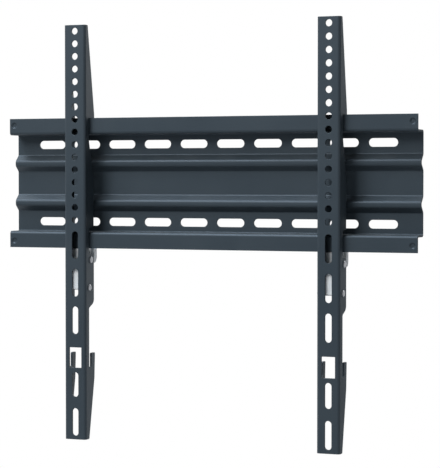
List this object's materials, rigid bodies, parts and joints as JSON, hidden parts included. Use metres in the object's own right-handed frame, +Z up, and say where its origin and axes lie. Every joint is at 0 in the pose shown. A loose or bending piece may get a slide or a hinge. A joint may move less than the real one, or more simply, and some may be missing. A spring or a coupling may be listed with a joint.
{
  "type": "tv wall mount",
  "caption": "Low-profile fixed wall mount for a flat television: slotted folded wall plate with two hanging channel brackets and sprung latches.",
  "frame": {"origin": "centre of the wall plate's back face, on the wall plane", "axes": "+X along the plate, +Y into the wall, +Z up; the television is on the -Y side"},
  "size_m": [0.44, 0.03, 0.426],
  "materials": {
    "coat": "fine textured anthracite powder coat",
    "latch": "light grey moulded plastic",
    "zinc": "bright zinc plating",
    "spring_wire": "drawn spring steel"
  },
  "bodies": {
    "mount": {"wall_plate": "coat", "left_bracket": "coat", "right_bracket": "coat", "left_guide_pin": "zinc", "right_guide_pin": "zinc", "left_spring_pin": "zinc", "right_spring_pin": "zinc", "left_latch_spring": "spring_wire", "right_latch_spring": "spring_wire"},
    "left_latch": {"left_latch": "latch"},
    "right_latch": {"right_latch": "latch"}
  },
  "joints": [
    {"name": "left_latch_slide", "type": "slide", "parent": "mount", "child": "left_latch", "axis": [0, 0, -1], "range_m": [0, 0.007], "stiffness_N_per_m": 1200, "springref_m": -0.004, "deforming": ["left_latch_spring"]},
    {"name": "right_latch_slide", "type": "slide", "parent": "mount", "child": "right_latch", "axis": [0, 0, -1], "range_m": [0, 0.007], "stiffness_N_per_m": 1200, "springref_m": -0.004, "deforming": ["right_latch_spring"]}
  ]
}
